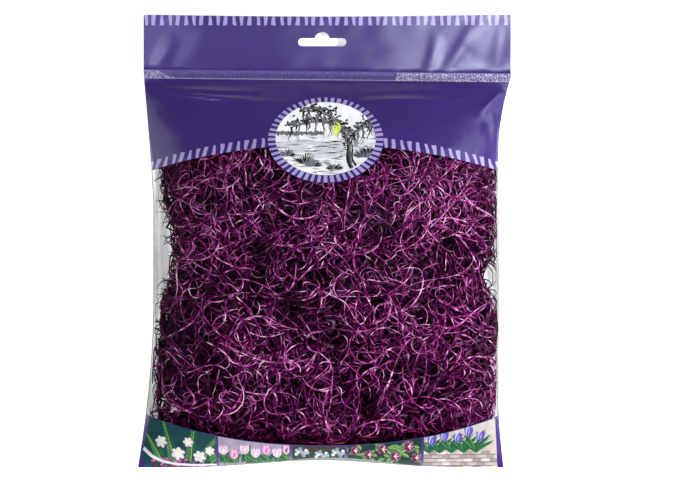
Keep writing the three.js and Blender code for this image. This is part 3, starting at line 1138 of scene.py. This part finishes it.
def strays(low, high, side, count):
    """Loose ends that stick out of the moss into the empty side of the bag."""
    y = low[1] + (high[1] - low[1]) * nature.random(count)
    notch = left_notch_height if side < 0 else right_notch_height
    y = y + (notch - y) * nature.uniform(0, 0.9, count) * (nature.random(count) < 0.5)
    along = along_at(y)
    left, right = side_limits(along)
    x = np.where(side < 0, waist_left * left + 4, waist_right * np.minimum(right, 0.97) - 4)
    heading = (np.pi if side < 0 else 0) + nature.normal(0, 0.9, count)
    way = normalised(np.column_stack([np.cos(heading), np.sin(heading), np.zeros(count)]))
    curl = np.where(nature.random(count) < 0.5, -1, 1) / nature.uniform(1.8, 8, count)
    return np.column_stack([x, y, -nature.uniform(3, 9, count)]), way, curl


def tubes(paths, radius):
    """Three-sided tubes round the paths: corner places, side faces and end faces."""
    count, rings, _ = paths.shape
    tangent = normalised(np.gradient(paths, axis=1))
    side = normalised(np.cross(tangent[:, 0], [0.3, 0.2, 1.0]))
    share = np.linspace(0, 1, rings)
    taper = (0.7 + 0.3 * np.sin(np.pi * np.minimum(1, 0.15 + share))) * (1 - 0.7 * share**3)
    corners = np.zeros((count, rings, 3, 3))
    for ring in range(rings):
        side = normalised(side - tangent[:, ring] * (side * tangent[:, ring]).sum(1, keepdims=True))
        other = np.cross(tangent[:, ring], side)
        for corner in range(3):
            turn = 2 * np.pi * corner / 3
            offset = side * np.cos(turn) + other * np.sin(turn)
            corners[:, ring, corner] = paths[:, ring] + offset * (radius * taper[ring])[:, None]
    number = np.arange(count * rings * 3).reshape(count, rings, 3)
    nearer, farther = number[:, :-1], number[:, 1:]
    quads = np.stack([nearer, np.roll(nearer, -1, 2), np.roll(farther, -1, 2), farther], -1)
    ends = np.concatenate([number[:, 0, ::-1], number[:, -1]])
    return corners.reshape(-1, 3), quads.reshape(-1, 4), ends


def openness(x, y, z):
    """How much light is painted on a place in the moss: 1 at the film, falling away with depth, and less at
    its side edges and towards the header, as painted shade.
    """
    across, along = shares_of(x, y)
    depth = np.minimum(front_level(across, along.clip(0, 1)) - z, z - back_level(across, along))
    # painted shade: darker at the left edge of the moss, a little at its right edge, and towards the header
    rim = 1 - 0.5 * ramp(-across, 0.76, 0.9) - 0.1 * ramp(across, 0.88, 0.98) - 0.2 * ramp(along, 0.5, 0.85)
    return rim * np.exp(-((np.maximum(depth - top_depth, 0) / 2.6) ** 1.2))


def moss_material():
    """Dyed stem: magenta that varies from stem to stem and along each, with a satin skin, painted highlights
    in its palest pinks, and painted shade where little light reaches.
    """
    material, tree, surface = new_material("dyed_moss")
    inputs = {"W": mesh_value(tree, "run"), "Scale": 0.17, "Detail": 4}
    mottle = add_node(tree, "ShaderNodeTexNoise", inputs, noise_dimensions="1D").outputs["Fac"]
    shade = maths(tree, "SUBTRACT", maths(tree, "MULTIPLY_ADD", mottle, 1.8, mesh_value(tree, "dye")), 0.98)
    # the tones vary at random along each stem; the palest pinks are painted highlights
    dye_and_highlights = colour_ramp(tree, shade, [
        (0.0, (0.03, 0.001, 0.018, 1)), (0.25, (0.10, 0.002, 0.064, 1)), (0.5, (0.30, 0.032, 0.20, 1)),
        (0.72, (0.59, 0.16, 0.45, 1)), (0.9, (0.87, 0.43, 0.72, 1)), (1.0, (0.95, 0.64, 0.82, 1)),
    ])
    light = mesh_value(tree, "painted_light")
    satin = remap(tree, mottle, (0, 1), (0.3, 0.5))
    feed(tree, surface, {
        # painted shade: the colour goes to near black where little light is painted
        "Base Color": mix(tree, light, (0.014, 0.0006, 0.009, 1), dye_and_highlights),
        "Roughness": mix(tree, light, 0.7, satin, kind="FLOAT"),
        "Specular IOR Level": 0.25,
        "Specular Tint": (1, 0.5, 0.9, 1),
    })
    return material


run_apart = 83.0  # so that no two stems of a wad have the same mottle


def add_mesh_part(parts, paths, radius, dye, most_light):
    """Adds one kind of stem to a wad's mesh: corners, faces, and each corner's dye, light and run."""
    corners, quads, ends = tubes(paths, radius)
    first = sum(len(part[0]) for part in parts)
    rings = paths.shape[1]
    colour = dye[:, None] + np.linspace(-0.06, 0.08, rings)[None, :]
    light = np.minimum(openness(paths[..., 0], paths[..., 1], paths[..., 2]), most_light)
    steps = np.linalg.norm(np.diff(paths, axis=1, prepend=paths[:, :1]), axis=2)
    run = np.cumsum(steps, 1) + run_apart * np.arange(len(paths))[:, None]
    values = [np.repeat(value.ravel(), 3) for value in (colour, light, run)]
    parts.append((corners, quads + first, ends + first, *values))


moss_dye = moss_material()
kinds = [
    # kind, count, steps along it, shortest, longest, least radius, greatest radius, most light,
    # how far past the moss's side it may reach, as a share
    ("stem", 400, 22, 24, 62, 0.40, 0.70, 1.0, 0.0),
    ("leaf", 980, 9, 8, 24, 0.30, 0.54, 1.0, 0.0),
    # the deep stems and the strays are painted dark as shade, by their low most light
    ("deep", 820, 4, 22, 55, 1.7, 2.3, 0.12, -0.05),
    ("stray", 42, 10, 8, 20, 0.42, 0.62, 0.3, 0.2),
]
for name in sorted(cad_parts):
    if not name.startswith("moss_wad_"):
        continue
    low, high = (np.array(corner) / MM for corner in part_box(name))
    parts = []
    for kind, count, steps, shortest, longest, thin, thick, most_light, past in kinds:
        if kind == "stray" and name.endswith("middle"):
            continue
        if kind == "leaf":
            start, way, curl = leaves(stem_paths, count)
        elif kind == "stray":
            start, way, curl = strays(low, high, -1 if name.endswith("left") else 1, count)
        else:
            start, way, curl = stems(low, high, count, kind == "deep")
        grown = grow(start, way, curl, nature.uniform(shortest, longest, count), steps)
        if kind == "stem":
            stem_paths = grown
        at_back = (np.arange(count) % back_every == 0)[:, None]
        spread = nature.normal(1.0, 0.028, count) + 0.045 * (nature.random(count) < 0.08) + past
        radius = nature.uniform(thin, thick, count)
        paths = place_in_bag(grown, radius, at_back, spread[:, None])
        add_mesh_part(parts, paths, radius, nature.beta(3, 3, count), most_light)
    corners, quads, ends, dyes, lights, runs = zip(*parts)
    faces = [face for pair in zip(quads, ends) for group in pair for face in group.tolist()]
    values = {"dye": np.concatenate(dyes), "painted_light": np.concatenate(lights), "run": np.concatenate(runs)}
    wad = add_piece(name + "_stems", np.concatenate(corners), faces, values)
    wad.data.materials.append(moss_dye)
    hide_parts(name)
    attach(wad, "root")
